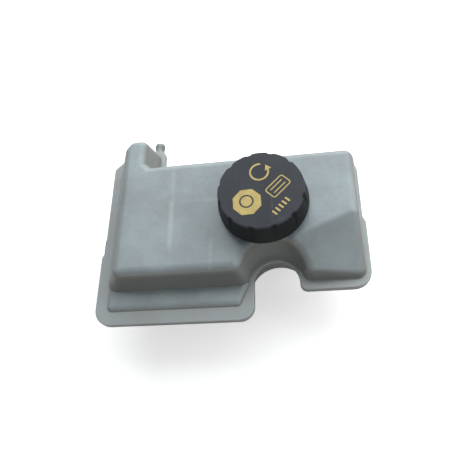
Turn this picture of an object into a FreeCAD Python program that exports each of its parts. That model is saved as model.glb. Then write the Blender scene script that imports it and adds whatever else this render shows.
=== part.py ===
import FreeCAD, Part
import math
import os
import Sketcher

# Brake fluid reservoir: two moulded half shells welded at a flange, a filler neck with a strainer
# and a screw cap, and a level float over a reed sensor. Millimetres, +Z up.
# The tank's own corner (left, front, weld plane) is the modelling datum of every piece. The
# finished part's origin is the seat of the first outlet port, so each piece is moved there.

SIZES = [
    ("tankLength", 189.8, "flange, left to right"),
    ("tankDepth", 118.5, "flange, front to back"),
    ("rightFront", 18.7, "front edge of the right lobe behind that of the left lobe"),
    ("flangeThk", 2.6, "thickness of each half flange"),
    ("flangeEdge", 0.8, "rounding of the flange's free edges"),
    ("flangeLeft", 8.5, "flange width at the left"),
    ("flangeFront", 9.0, "flange width at the front of the left lobe"),
    ("flangeRightFront", 5.6, "flange width at the front of the right lobe"),
    ("flangeRight", 0.9, "flange width at the right"),
    ("flangeBack", 4.6, "flange width at the back"),
    ("flangeCorner", 12.0, "outer corner radius of the flange"),
    ("lobeCorner", 10.0, "corner radius of the flange beside the cut-out"),
    ("smallCorner", 5.0, "smaller corner radii of the flange"),
    ("flangeJog", 1.9, "how much the flange steps in towards the rear, on both sides"),
    ("jogFromFront", 66.0, "where the right side of the flange steps in"),
    ("jogLeftFromFront", 51.0, "where the left side of the flange steps in"),
    ("wall", 2.2, "wall of both shells"),
    ("draftAngle", 8.0, "draft of the side walls"),
    ("upperHeight", 28.0, "top plane above the weld plane"),
    ("topRadius", 6.5, "rounding of the upper edges"),
    ("notchFromLeft", 127.4, "centre of the round cut-out, from the left"),
    ("notchFromFront", 24.6, "centre of the round cut-out, from the front"),
    ("notchRadius", 15.4, "radius of the round cut-out"),
    ("notchLip", 2.4, "flange width round the cut-out"),
    ("lobeInset", 7.6, "flange width at the left lobe's right front corner"),
    ("ledgeHeight", 5.5, "height of the low ledge at the front of the left lobe"),
    ("highFront", 22.3, "foot of the high wall behind the ledge, from the front"),
    ("slopeFootHeight", 2.0, "height of the foot of the sloping face"),
    ("slopeHead", 40.0, "head of the sloping face on the cut-out's centre line, from the front"),
    ("slopeSwing", 23.0, "how far the sloping face is swung to the right"),
    ("slopeRun", 44.0, "depth of the sloping face, square to its head"),
    ("leftHead", 21.0, "head of the left side's slope, from the left"),
    ("leftRun", 13.5, "width of the left side's slope"),
    ("ledgeRadius", 4.0, "rounding of the ledge"),
    ("armFillet", 5.0, "cut-off of the inner corner between arm and back wall"),
    ("armWidth", 31.6, "width of the arm at the back left"),
    ("armReach", 24.0, "how far the arm stands behind the back wall"),
    ("armChamferX", 10.3, "chamfer of the arm's outer corner, across"),
    ("armChamferY", 14.3, "chamfer of the arm's outer corner, along"),
    ("armFlange", 2.6, "flange width round the arm"),
    ("nippleFromLeft", 34.2, "hose nipple, from the left"),
    ("nippleDrop", 8.0, "hose nipple's axis below the weld plane"),
    ("nippleReach", 15.2, "hose nipple behind the arm"),
    ("nippleRadius", 3.6, "hose nipple, outside"),
    ("nippleBead", 0.3, "bead at the hose nipple's end, beyond its radius"),
    ("nippleBore", 1.9, "hose nipple, bore radius"),
    ("ribThk", 2.0, "thickness of the inner ribs"),
    ("crossRib", 59.0, "rib between the float chamber and the main chamber, from the left"),
    ("shortRib", 87.0, "short rib at the front, from the left"),
    ("shortRibEnd", 47.0, "back end of the short rib, from the front"),
    ("longRib", 78.0, "rib along the tank, from the front"),
    ("longRibEnd", 97.0, "right end of the rib along the tank"),
    ("neckFromLeft", 122.8, "filler neck, from the left"),
    ("neckFromFront", 70.0, "filler neck, from the front"),
    ("neckRadius", 22.3, "filler neck, outside"),
    ("neckBore", 18.4, "filler neck, bore radius under the strainer seat"),
    ("strainerSeat", 38.5, "height of the strainer's seat in the neck"),
    ("strainerRim", 20.2, "radius of the strainer's rim"),
    ("neckTop", 44.0, "top of the neck above the weld plane"),
    ("plinthRadius", 24.5, "collar at the neck's foot"),
    ("plinthHeight", 1.8, "height of that collar"),
    ("fit", 0.3, "clearance between pieces that are put together by hand"),
    ("lowerDepth", 30.0, "floor of the lower shell below the weld plane"),
    ("portFromLeft", 84.0, "first outlet port, from the left"),
    ("portFromFront", 70.0, "outlet ports, from the front"),
    ("portPitch", 38.0, "distance between the outlet ports"),
    ("seatDrop", 12.0, "seat of the grommets below the floor"),
    ("spigotRadius", 7.0, "outlet spigot, outside"),
    ("spigotBore", 4.8, "outlet spigot, bore radius"),
    ("spigotReach", 10.0, "spigot below the grommet's seat"),
    ("collarRadius", 10.0, "collar over each grommet"),
    ("baffleTop", -8.0, "top of the baffle between the outlets"),
    ("sumpDrop", 5.5, "how far the sump hangs below the floor"),
    ("sumpLength", 78.0, "sump, left to right"),
    ("sumpWidth", 34.0, "sump, front to back"),
    ("sumpCorner", 9.0, "corner radius of the sump"),
    ("grommetFlange", 13.5, "radius of the grommet's flange"),
    ("grommetFlangeThk", 4.0, "thickness of the grommet's flange"),
    ("grommetRadius", 11.0, "radius of the grommet's sleeve"),
    ("grommetReach", 8.0, "length of the grommet's sleeve"),
    ("lugWidth", 10.0, "retaining lug, left to right"),
    ("lugThk", 9.0, "retaining lug, front to back"),
    ("lugHole", 2.6, "radius of the lug's pin hole"),
    ("lugDrop", 3.5, "pin hole below the grommets' seat"),
    ("capTopRadius", 27.4, "screw cap at its top face"),
    ("capSkirtRadius", 29.8, "screw cap at its lower edge"),
    ("capHeight", 16.7, "screw cap, overall height"),
    ("capPlate", 2.4, "top plate of the screw cap"),
    ("capBore", 24.7, "inside radius of the cap's skirt"),
    ("capEdge", 1.1, "rounding of the cap's top edge"),
    ("gripPhase", 15.8, "where the first finger groove lies, seen from above"),
    ("gripCount", 12, "finger grooves round the cap"),
    ("gripOffset", 30.0, "radius of the circle of finger grooves"),
    ("gripRadius", 3.8, "radius of each finger groove at the top"),
    ("gripLength", 11.0, "length of each finger groove"),
    ("gripTaper", 14.0, "how each groove narrows downwards"),
    ("gasketThk", 2.0, "cap gasket, thickness"),
    ("gasketRadius", 23.6, "cap gasket, outside radius"),
    ("insertFlange", 1.3, "flange of the cap insert"),
    ("insertRim", 24.2, "radius of that flange"),
    ("insertRadius", 15.6, "plug of the cap insert, outside"),
    ("insertDrop", 7.5, "plug of the cap insert below its flange"),
    ("insertWall", 1.4, "wall of the cap insert"),
    ("diaphragmThk", 1.2, "vent diaphragm, thickness"),
    ("strainerRimThk", 1.6, "rim of the strainer, thickness"),
    ("strainerRadius", 17.8, "strainer basket, outside"),
    ("strainerWall", 1.3, "bars of the strainer"),
    ("strainerDrop", 27.0, "depth of the strainer basket"),
    ("strainerBars", 6, "bars round the strainer"),
    ("meshThk", 0.5, "woven mesh, thickness"),
    ("meshPitch", 3.8, "distance between the rows of gaps in the mesh"),
    ("meshGap", 2.8, "height of a gap in the mesh"),
    ("meshColumns", 12, "columns of gaps round the mesh"),
    ("floatFromLeft", 36.0, "float, centre from the left"),
    ("floatFromFront", 66.0, "float, centre from the front"),
    ("floatLength", 30.0, "float, left to right"),
    ("floatWidth", 22.0, "float, front to back"),
    ("floatThk", 11.0, "float, thickness"),
    ("floatTravel", 15.0, "float, travel"),
    ("floatRest", -13.6, "underside of the float at rest, above the weld plane"),
    ("magnetLength", 12.0, "float magnet, length"),
    ("magnetRadius", 2.0, "float magnet, radius"),
    ("sensorDepth", 20.6, "axis of the level sensor below the weld plane"),
    ("sensorBore", 5.0, "bore of the sensor pocket"),
    ("sensorMouth", 6.0, "mouth of the sensor pocket, from the left"),
    ("sensorLength", 47.0, "bore of the sensor pocket, length"),
    ("reedLength", 18.0, "glass capsule, length"),
    ("reedRadius", 1.5, "glass capsule, radius"),
    ("sensorRadius", 4.85, "sensor stem, outside"),
    ("sensorStem", 45.0, "sensor stem, length inside the pocket"),
    ("sensorFlange", 7.2, "flange of the sensor, radius"),
    ("sensorFlangeThk", 2.8, "flange of the sensor, thickness"),
    ("sealMajor", 4.15, "sealing ring of the sensor, to the middle of its section"),
    ("sealMinor", 0.8, "sealing ring of the sensor, radius of its section"),
    ("sealFromMouth", 4.0, "sealing ring inside the pocket's mouth"),
    ("reedWire", 0.35, "reed, radius"),
    ("reedStep", 0.4, "how far each reed lies off the capsule's axis"),
    ("reedTail", 4.0, "reed outside the glass"),
    ("reedLap", 0.8, "half of the overlap of the two reeds"),
    ("plugLength", 10.5, "connector shell, length"),
    ("plugWidth", 15.0, "connector shell, width"),
    ("plugHeight", 9.0, "connector shell, height"),
    ("plugWall", 1.3, "connector shell, wall"),
    ("bladeWidth", 2.8, "terminal blade, width"),
    ("bladeThk", 0.8, "terminal blade, thickness"),
    ("bladePitch", 6.0, "distance between the terminal blades"),
    ("legNear", 1.8, "inner side of the terminals' legs off the axis"),
    ("legFar", 3.0, "outer side of the terminals' legs off the axis"),
    ("postThk", 1.6, "float guide, thickness"),
    ("postArm", 5.5, "float guide, length of each side"),
    ("postGap", 0.5, "clearance between float and guides"),
    ("postTop", 9.0, "top of the float guides above the weld plane"),
]

doc = FreeCAD.newDocument("brake_fluid_reservoir")
sheet = doc.addObject("Spreadsheet::Sheet", "Sizes")
for row, (alias, size, meaning) in enumerate(SIZES, start=1):
    sheet.set(f"A{row}", alias)
    sheet.set(f"B{row}", str(size))
    sheet.setAlias(f"B{row}", alias)
    sheet.set(f"C{row}", meaning)
doc.recompute()

VALUE = {alias: float(sheet.get(alias)) for alias, size, meaning in SIZES}
SEATED = []


def tied(text):
    """Turns a plain formula of size names into an expression on the sheet."""
    out = ""
    word = ""
    for sign in text + " ":
        if sign.isalpha():
            word += sign
            continue
        out += f"Sizes.{word}" if word in VALUE else word
        word = ""
        out += sign
    return out.strip()


def number(text):
    """The value of such a formula now."""
    return float(sheet.evalExpression(tied(text)))


def plane(body, role):
    return next(item for item in body.Origin.OriginFeatures if item.Role == role)


def new_body(label, across=None, along=None, up=None):
    """A body whose own origin lies at a named place of the tank."""
    body = doc.addObject("PartDesign::Body", label)
    body.Label = label
    for axis, place in zip("xyz", (across, along, up)):
        if place:
            body.setExpression(f"Placement.Base.{axis}", tied(place))
    return body


def place_sketch(body, name, role, offset):
    sketch = body.newObject("Sketcher::SketchObject", name)
    sketch.AttachmentSupport = [(plane(body, role), "")]
    sketch.MapMode = "FlatFace"
    if offset:
        sketch.setExpression("AttachmentOffset.Base.z", tied(offset))
    return sketch


def hold(sketch, kind, geometry, point, name, formula):
    """Ties one coordinate of a sketch point to its formula."""
    index = sketch.addConstraint(Sketcher.Constraint(kind, -1, 1, geometry, point, number(formula)))
    sketch.renameConstraint(index, name)
    sketch.setExpression(f"Constraints.{name}", tied(formula))


def outline(body, name, role, corners, offset=None):
    """A closed outline of straight sides, each corner tied to its two formulas."""
    return outlines(body, name, role, [corners], offset)


def outlines(body, name, role, loops, offset=None):
    """Several closed outlines of straight sides in one sketch."""
    sketch = place_sketch(body, name, role, offset)
    first = 0
    for corners in loops:
        places = [FreeCAD.Vector(number(u), number(v), 0) for u, v in corners]
        count = len(places)
        for i in range(count):
            sketch.addGeometry(Part.LineSegment(places[i], places[(i + 1) % count]))
        for i in range(count):
            following = first + (i + 1) % count
            sketch.addConstraint(Sketcher.Constraint("Coincident", first + i, 2, following, 1))
        for i, (u, v) in enumerate(corners, start=first):
            hold(sketch, "DistanceX", i, 1, f"u{i}", u)
            hold(sketch, "DistanceY", i, 1, f"v{i}", v)
        first += count
    return sketch


def rings(body, name, role, circles, offset=None):
    """Circles, each given as (across, along, radius)."""
    sketch = place_sketch(body, name, role, offset)
    for i, (u, v, radius) in enumerate(circles):
        centre = FreeCAD.Vector(number(u), number(v), 0)
        sketch.addGeometry(Part.Circle(centre, FreeCAD.Vector(0, 0, 1), number(radius)))
        hold(sketch, "DistanceX", i, 3, f"u{i}", u)
        hold(sketch, "DistanceY", i, 3, f"v{i}", v)
        index = sketch.addConstraint(Sketcher.Constraint("Radius", i, number(radius)))
        sketch.renameConstraint(index, f"radius{i}")
        sketch.setExpression(f"Constraints.radius{i}", tied(radius))
    return sketch


def box_corners(low, high):
    (u0, v0), (u1, v1) = low, high
    return [(u0, v0), (u1, v0), (u1, v1), (u0, v1)]


def feature(body, kind, name, sketch, length, flip=False, taper=None):
    """A pad or a pocket, with the length and taper tied to their formulas."""
    item = body.newObject(f"PartDesign::{kind}", name)
    item.Profile = sketch
    item.setExpression("Length", tied(length))
    item.Reversed = flip
    if taper:
        item.setExpression("TaperAngle", tied(taper))
    doc.recompute()
    return item


def turned(body, kind, name, sketch):
    """A full turn of a profile about the body's own upright axis."""
    item = body.newObject(f"PartDesign::{kind}", name)
    item.Profile = sketch
    item.ReferenceAxis = (sketch, ["V_Axis"])
    item.Angle = 360.0
    doc.recompute()
    return item


def repeated(body, name, features, count):
    """Features repeated in a full turn about the body's own upright axis."""
    item = body.newObject("PartDesign::PolarPattern", name)
    item.Originals = features
    item.Axis = (plane(body, "Z_Axis"), [""])
    item.Angle = 360.0
    item.setExpression("Occurrences", tied(count))
    body.Tip = item
    doc.recompute()
    return item


def rounded(body, name, radius, chosen, kind="Fillet"):
    """Rounds every edge of the body that the test chooses by its place."""
    tip = body.Tip
    names = [f"Edge{i}" for i, edge in enumerate(tip.Shape.Edges, start=1) if chosen(edge)]
    item = body.newObject(f"PartDesign::{kind}", name)
    item.Base = (tip, names)
    item.setExpression("Radius", tied(radius))
    doc.recompute()
    return item


def middle(edge):
    return edge.valueAt((edge.FirstParameter + edge.LastParameter) / 2)


def is_level(edge, height, slack=0.05):
    box = edge.BoundBox
    return abs(box.ZMin - height) < slack and abs(box.ZMax - height) < slack


def is_steep(edge):
    """A corner edge that climbs more than it runs."""
    box = edge.BoundBox
    return box.ZLength > 3 * max(box.XLength, box.YLength) and box.ZLength > 1.0


def seat(item, label):
    """Moves a finished piece from the tank's corner to the part's own origin, and lists it."""
    item.Label = label
    shift = {"x": "-portFromLeft", "y": "-portFromFront", "z": "lowerDepth + seatDrop"}
    placed = {path: formula for path, formula in item.ExpressionEngine}
    for axis, formula in shift.items():
        path = f"Placement.Base.{axis}"
        own = placed.get(path) or placed.get("." + path)
        item.setExpression(path, f"{own} + ({tied(formula)})" if own else tied(formula))
    SEATED.append(item)


def cut(name, base, *tools):
    item = doc.addObject("Part::Cut", name)
    item.Base = base
    if len(tools) == 1:
        item.Tool = tools[0]
    else:
        joined = doc.addObject("Part::MultiFuse", f"{name}_tools")
        joined.Shapes = list(tools)
        item.Tool = joined
    doc.recompute()
    return item


def joined(name, *items):
    item = doc.addObject("Part::MultiFuse", name)
    item.Shapes = list(items)
    doc.recompute()
    return item


def swollen(name, skeleton, amount):
    """A sharp skeleton grown by a distance, which rounds every outer edge to that radius."""
    item = doc.addObject("Part::Offset", name)
    item.Source = skeleton
    item.setExpression("Value", tied(amount))
    item.Mode = "Skin"
    item.Join = "Arc"
    item.Fill = False
    doc.recompute()
    return item


def block(name, low, high):
    """A plain block between two corners given as formulas, in the tank's frame."""
    item = doc.addObject("Part::Box", name)
    for axis, side, start, end in zip("xyz", ("Length", "Width", "Height"), low, high):
        item.setExpression(f"Placement.Base.{axis}", tied(start))
        item.setExpression(side, tied(f"({end}) - ({start})"))
    doc.recompute()
    return item


# Outlines seen from above, at the weld plane. "inset" is how far a sharp skeleton lies inside the
# finished wall: the rounding radius.
def high_plan(inset):
    """The high block: main chamber, right lobe and arm, with the inner corner of the arm cut off."""
    left = f"flangeLeft + {inset}"
    front = f"highFront + {inset}"
    right = f"tankLength - flangeJog - flangeRight - {inset}"
    right_front = f"rightFront + flangeRightFront + {inset}"
    back = f"tankDepth - flangeBack - {inset}"
    arm_right = f"flangeLeft + armWidth - {inset}"
    arm_back = f"tankDepth - flangeBack + armReach - {inset}"
    return [
        (left, front),
        (f"notchFromLeft - notchRadius - notchLip - {inset}", front),
        ("notchFromLeft", front),
        ("notchFromLeft", right_front),
        (right, right_front),
        (right, back),
        (f"{arm_right} + armFillet", back),
        (arm_right, f"{back} + armFillet"),
        (arm_right, arm_back),
        (f"flangeLeft + armChamferX + {inset}", arm_back),
        (left, f"{arm_back} - armChamferY"),
    ]


def ledge_plan(inset):
    """The low ledge in front of the left half of the high block."""
    left = f"flangeLeft + {inset}"
    front = f"flangeFront + {inset}"
    notch_left = f"notchFromLeft - notchRadius - notchLip - {inset}"
    return [
        (left, front),
        (f"notchFromLeft - notchRadius - lobeInset - {inset}", front),
        (notch_left, "notchFromFront"),
        (notch_left, "highFront + topRadius + ledgeRadius"),
        (left, "highFront + topRadius + ledgeRadius"),
    ]


def low_plan(inset):
    """The lower shell: both together."""
    return ledge_plan(inset)[:3] + high_plan(inset)[2:]


def skeleton(name, plan, height, radius, flip):
    """A sharp drafted block, carried on past the weld plane so that its rounded end is cut off."""
    body = new_body(name)
    sketch = outline(body, f"{name}_plan", "XY_Plane", plan(radius))
    feature(body, "Pad", f"{name}_block", sketch, f"{height} - {radius}", flip, "-draftAngle")
    feature(body, "Pad", f"{name}_past", sketch, f"{radius} + 2", not flip)
    return body


def notch_pocket(body, name, radius, depth, flip):
    """The round cut-out, wider by the rounding so that the grown wall comes to its own size."""
    circle = [("notchFromLeft", "notchFromFront", radius)]
    ring = rings(body, f"{name}_up_circle", "XY_Plane", circle)
    feature(body, "Pocket", f"{name}_up", ring, depth, not flip, "draftAngle")
    feature(body, "Pocket", f"{name}_down", ring, depth, flip)


def slope_pocket(body, name, inset):
    """The sloping face of the right lobe: a cut along its own head line, swung to the right."""
    rise = "(upperHeight - slopeFootHeight)"
    shift = f"({inset} * sqrt(slopeRun ^ 2 + {rise} ^ 2) / {rise})"
    depth = f"({inset} + 3)"
    foot = f"{shift} - slopeRun * (upperHeight + {depth}) / {rise}"
    side = outline(body, f"{name}_side", "YZ_Plane", [
        (foot, f"-{depth}"),
        (shift, "upperHeight"),
        (f"{shift} + slopeRun", f"upperHeight + {rise}"),
        ("-tankDepth", f"upperHeight + {rise}"),
        ("-tankDepth", f"-{depth}"),
    ], "notchFromLeft")
    side.setExpression("AttachmentOffset.Base.x", tied("slopeHead"))
    turn = FreeCAD.Rotation(FreeCAD.Vector(0, 1, 0), VALUE["slopeSwing"])
    side.AttachmentOffset = FreeCAD.Placement(side.AttachmentOffset.Base, turn)
    side.setExpression("AttachmentOffset.Rotation.Angle", tied("slopeSwing"))
    doc.recompute()
    feature(body, "Pocket", f"{name}_cut", side, "tankLength", True)


def left_slope(body, name, inset):
    """The leaning left side of the high block and of the arm."""
    rise = "(upperHeight - slopeFootHeight)"
    shift = f"(leftHead + {inset} * sqrt(leftRun ^ 2 + {rise} ^ 2) / {rise})"
    depth = f"({inset} + 3)"
    side = outline(body, f"{name}_side", "XZ_Plane", [
        (f"{shift} - leftRun * (upperHeight + {depth}) / {rise}", f"-{depth}"),
        (shift, "upperHeight"),
        (f"{shift} + leftRun", f"upperHeight + {rise}"),
        ("-20", f"upperHeight + {rise}"),
        ("-20", f"-{depth}"),
    ])
    feature(body, "Pocket", f"{name}_cut", side, "tankDepth + armReach + 20", False)


def cavity(name, core, ribs):
    """The space inside a shell, with its ribs left standing."""
    return cut(name, core, *ribs)


def edge_at(across, along, reach=6.0):
    """Chooses the upright edges near a place given as formulas."""
    x, y = number(across), number(along)
    return lambda edge: is_steep(edge) and math.hypot(middle(edge).x - x, middle(edge).y - y) < reach


def flange(name, flip):
    """The weld flange of one half: one outline with the round cut-out, every corner rounded."""
    body = new_body(name)
    arm_left = "flangeLeft + armChamferX - armFlange"
    arm_back = f"{ARM_BACK} + armFlange"
    arm_right = "flangeLeft + armWidth + armFlange"
    cut_left = "notchFromLeft - notchRadius"
    cut_right = "notchFromLeft + notchRadius"
    right = "tankLength - flangeJog"
    jog_run = "2 * flangeJog"
    plan = outline(body, f"{name}_plan", "XY_Plane", [
        ("0", "0"),
        (cut_left, "0"),
        (cut_left, "notchFromFront"),
        (cut_right, "notchFromFront"),
        (cut_right, "rightFront"),
        ("tankLength", "rightFront"),
        ("tankLength", "jogFromFront"),
        (right, f"jogFromFront + {jog_run}"),
        (right, "tankDepth"),
        (arm_right, "tankDepth"),
        (arm_right, arm_back),
        (arm_left, arm_back),
        ("flangeJog", f"{arm_back} - armChamferY"),
        ("flangeJog", f"jogLeftFromFront + {jog_run}"),
        ("0", "jogLeftFromFront"),
    ])
    feature(body, "Pad", f"{name}_plate", plan, "flangeThk", flip)
    circle = [("notchFromLeft", "notchFromFront", "notchRadius")]
    ring = rings(body, f"{name}_circle", "XY_Plane", circle)
    feature(body, "Pocket", f"{name}_notch", ring, "flangeThk", not flip)
    rounded(body, f"{name}_front_corners", "flangeCorner", lambda edge: any(
        edge_at(*place)(edge) for place in (("0", "0"), ("tankLength", "rightFront"), (right, "tankDepth"))))
    rounded(body, f"{name}_lobe_corner", "lobeCorner", edge_at(cut_left, "0"))
    rounded(body, f"{name}_small_corners", "smallCorner", lambda edge: any(
        edge_at(*place)(edge) for place in ((arm_right, "tankDepth"), (arm_right, arm_back),
                                            (arm_left, arm_back), (cut_right, "rightFront"))))
    free = number("-flangeThk" if flip else "flangeThk")
    rounded(body, f"{name}_free_edge", "flangeEdge", lambda edge: is_level(edge, free))
    return body


def notch_cone(name, grow, flip):
    """The drafted wall round the cut-out, as a tool that clears everything inside it."""
    body = new_body(name)
    circle = [("notchFromLeft", "notchFromFront", f"notchRadius + notchLip + {grow}")]
    ring = rings(body, f"{name}_circle", "XY_Plane", circle)
    feature(body, "Pad", f"{name}_cone", ring, "upperHeight", flip, "draftAngle")
    return body


def cylinder(name, centre, radius, low, high_end):
    item = doc.addObject("Part::Cylinder", name)
    item.setExpression("Radius", tied(radius))
    item.setExpression("Height", tied(f"({high_end}) - ({low})"))
    for axis, place in zip("xyz", (*centre, low)):
        item.setExpression(f"Placement.Base.{axis}", tied(place))
    doc.recompute()
    return item


TURNED = {
    "x": FreeCAD.Rotation(FreeCAD.Vector(0, 1, 0), 90),
    "y": FreeCAD.Rotation(FreeCAD.Vector(1, 0, 0), -90),
}


def bar(name, axis, start, radius, length):
    """A round bar along one level axis, from its starting point."""
    item = doc.addObject("Part::Cylinder", name)
    item.Placement = FreeCAD.Placement(FreeCAD.Vector(), TURNED[axis])
    item.setExpression("Radius", tied(radius))
    item.setExpression("Height", tied(length))
    for side, place in zip("xyz", start):
        item.setExpression(f"Placement.Base.{side}", tied(place))
    doc.recompute()
    return item


def window(name, low, high_end):
    """An opening in the rib beside the float chamber."""
    return block(name, ("crossRib - ribThk", "longRib + 8", low),
                 ("crossRib + ribThk", "longRib + 20", high_end))


NECK = ("neckFromLeft", "neckFromFront")
BELOW = block("below", ("-20", "-20", "-80"), ("tankLength + 20", "tankDepth + 60", "0"))
ABOVE = block("above", ("-20", "-20", "0"), ("tankLength + 20", "tankDepth + 60", "80"))


def ribs(prefix, low, high_end):
    """The three ribs that run through both halves and meet at the weld."""
    return [
        block(f"{prefix}_cross", ("crossRib - ribThk / 2", "-10", low),
              ("crossRib + ribThk / 2", "tankDepth + 40", high_end)),
        block(f"{prefix}_short", ("shortRib - ribThk / 2", "-10", low),
              ("shortRib + ribThk / 2", "shortRibEnd", high_end)),
        block(f"{prefix}_long", ("crossRib", "longRib - ribThk / 2", low),
              ("longRibEnd", "longRib + ribThk / 2", high_end)),
    ]


ARM_BACK = "tankDepth - flangeBack + armReach"


def hose_nipple(name, radius, start, length):
    """A round bar along the hose nipple, which leaves the arm's back wall under the flange."""
    return bar(name, "y", ("nippleFromLeft", f"{ARM_BACK} + {start}", "-nippleDrop"), radius, length)


# Upper shell
high = skeleton("high_skeleton", high_plan, "upperHeight", "topRadius", False)
notch_pocket(high, "high_notch", "notchRadius + notchLip + topRadius", "upperHeight", False)
slope_pocket(high, "high_slope", "topRadius")
left_slope(high, "high_left", "topRadius")
high_outer = swollen("high_outer", high, "topRadius")
high_core = swollen("high_core", high, "topRadius - wall")
ledge = skeleton("ledge_skeleton", ledge_plan, "ledgeHeight", "ledgeRadius", False)
ledge_outer = swollen("ledge_outer", ledge, "ledgeRadius")
ledge_core = swollen("ledge_core", ledge, "ledgeRadius - wall")
ledge_cut = cut("ledge_cut", ledge_outer, notch_cone("notch_cone", "0", False))
ledge_core_cut = cut("ledge_core_cut", ledge_core, notch_cone("notch_core_cone", "wall", False))

upper_outer = joined(
    "upper_outer", high_outer, ledge_cut, flange("upper_flange", False),
    cylinder("neck_wall", NECK, "neckRadius", "upperHeight - 10", "neckTop"),
    cylinder("neck_plinth", NECK, "plinthRadius", "upperHeight - 4", "upperHeight + plinthHeight"),
)
upper_core = joined("upper_core", high_core, ledge_core_cut)
upper_cavity = cavity("upper_cavity", upper_core, ribs("upper_rib", "-10", "upperHeight + 5"))
upper_hollow = cut(
    "upper_hollow", upper_outer, BELOW, upper_cavity,
    window("air_window", "upperHeight - wall - 8", "upperHeight - wall - 0.8"),
    cylinder("neck_hole", NECK, "neckBore", "upperHeight - 12", "neckTop + 5"),
    cylinder("neck_counterbore", NECK, "strainerRim + fit", "strainerSeat", "neckTop + 5"),
)
STOP_FOOT = "floatRest + floatThk + floatTravel + fit"
stops = [
    block(f"float_stop_{side}",
          (f"floatFromLeft {sign} 8 - ribThk / 2", "floatFromFront - floatWidth / 2", STOP_FOOT),
          (f"floatFromLeft {sign} 8 + ribThk / 2", "floatFromFront + floatWidth / 2",
           "upperHeight - wall / 2"))
    for side, sign in (("left", "-"), ("right", "+"))
]
upper_shell = joined("upper_shell", upper_hollow, *stops)
seat(upper_shell, "upper_shell")

# Lower shell
low = skeleton("low_skeleton", low_plan, "lowerDepth", "topRadius", True)
notch_pocket(low, "low_notch", "notchRadius + notchLip + topRadius", "lowerDepth", True)
low_outer = swollen("low_outer", low, "topRadius")
low_core = swollen("low_core", low, "topRadius - wall")


def sump(name, inset, top, bottom):
    """The shallow trough over the two outlets."""
    body = new_body(name, "portFromLeft + portPitch / 2", "portFromFront")
    across = f"(sumpLength / 2 - {inset})"
    along = f"(sumpWidth / 2 - {inset})"
    corners = box_corners((f"-{across}", f"-{along}"), (across, along))
    sketch = outline(body, f"{name}_plan", "XY_Plane", corners, top)
    feature(body, "Pad", f"{name}_block", sketch, f"({top}) - ({bottom})", True)
    rounded(body, f"{name}_corners", f"sumpCorner - {inset}", is_steep)
    return body


PORTS = (("primary", "portFromLeft"), ("secondary", "portFromLeft + portPitch"))
LUG = "portFromLeft + portPitch / 2"
SEATING = "-(lowerDepth + seatDrop)"
PIN = f"{SEATING} - lugDrop"
SENSOR = ("floatFromFront", "-sensorDepth")

lower_outer = joined(
    "lower_outer", low_outer, flange("lower_flange", True),
    sump("sump_wall", "0", "-lowerDepth + 8", "-lowerDepth - sumpDrop"),
    *[cylinder(f"{port}_collar", (across, "portFromFront"), "collarRadius",
               f"{SEATING} + grommetFlangeThk", "-lowerDepth") for port, across in PORTS],
    *[cylinder(f"{port}_spigot", (across, "portFromFront"), "spigotRadius",
               f"{SEATING} - spigotReach", "-lowerDepth") for port, across in PORTS],
    *[cylinder(f"{port}_bead", (across, "portFromFront"), "spigotRadius + 0.5",
               f"{SEATING} - spigotReach + 0.4", f"{SEATING} - spigotReach + 1.6")
      for port, across in PORTS],
    block("lug_block", (f"{LUG} - lugWidth / 2", "portFromFront - lugThk / 2", PIN),
          (f"{LUG} + lugWidth / 2", "portFromFront + lugThk / 2", "-lowerDepth")),
    bar("lug_end", "y", (LUG, "portFromFront - lugThk / 2", PIN), "lugWidth / 2", "lugThk"),
    hose_nipple("nipple_wall", "nippleRadius", "-2 * wall", "2 * wall + nippleReach"),
    hose_nipple("nipple_bead", "nippleRadius + nippleBead", "nippleReach - 3.4", "2.4"),
)
lower_core = joined("lower_core", low_core,
                    sump("sump_hollow", "wall", "-lowerDepth + 8", "-lowerDepth - sumpDrop + wall"))
lower_cavity = cavity("lower_cavity", lower_core, ribs("lower_rib", "-lowerDepth - 10", "10") + [
    block("baffle", (f"{LUG} - ribThk / 2", "shortRibEnd", "-lowerDepth - 10"),
          (f"{LUG} + ribThk / 2", "tankDepth - 20", "baffleTop")),
])
lower_hollow = cut(
    "lower_hollow", lower_outer, ABOVE, lower_cavity,
    window("fluid_window", "-lowerDepth + wall + 0.8", "-lowerDepth + wall + 8"),
    *[cylinder(f"{port}_hole", (across, "portFromFront"), "spigotBore",
               f"{SEATING} - spigotReach - 5", "-lowerDepth") for port, across in PORTS],
    bar("lug_hole", "y", (LUG, "portFromFront - lugThk", PIN), "lugHole", "2 * lugThk"),
    hose_nipple("nipple_hole", "nippleBore", "-3 * wall", "3 * wall + nippleReach + 1"),
)


def guide(name, side, depth):
    """One angled guide post at a corner of the float."""
    x0 = f"floatFromLeft {side} (floatLength / 2 + postGap)"
    y0 = f"floatFromFront {depth} (floatWidth / 2 + postGap)"
    foot = "-lowerDepth + wall / 2"
    low_x, high_x = sorted((f"{x0} {side} postThk", f"{x0}"), key=number)
    low_y, high_y = sorted((f"{y0} {depth} postThk", f"{y0}"), key=number)
    back = "-" if side == "+" else "+"
    inner = "-" if depth == "+" else "+"
    far_x = sorted((f"{x0} {side} postThk", f"{x0} {side} postThk {back} postArm"), key=number)
    far_y = sorted((f"{y0} {depth} postThk", f"{y0} {depth} postThk {inner} postArm"), key=number)
    return [
        block(f"{name}_across", (far_x[0], low_y, foot), (far_x[1], high_y, "postTop")),
        block(f"{name}_along", (low_x, far_y[0], foot), (high_x, far_y[1], "postTop")),
    ]


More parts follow.
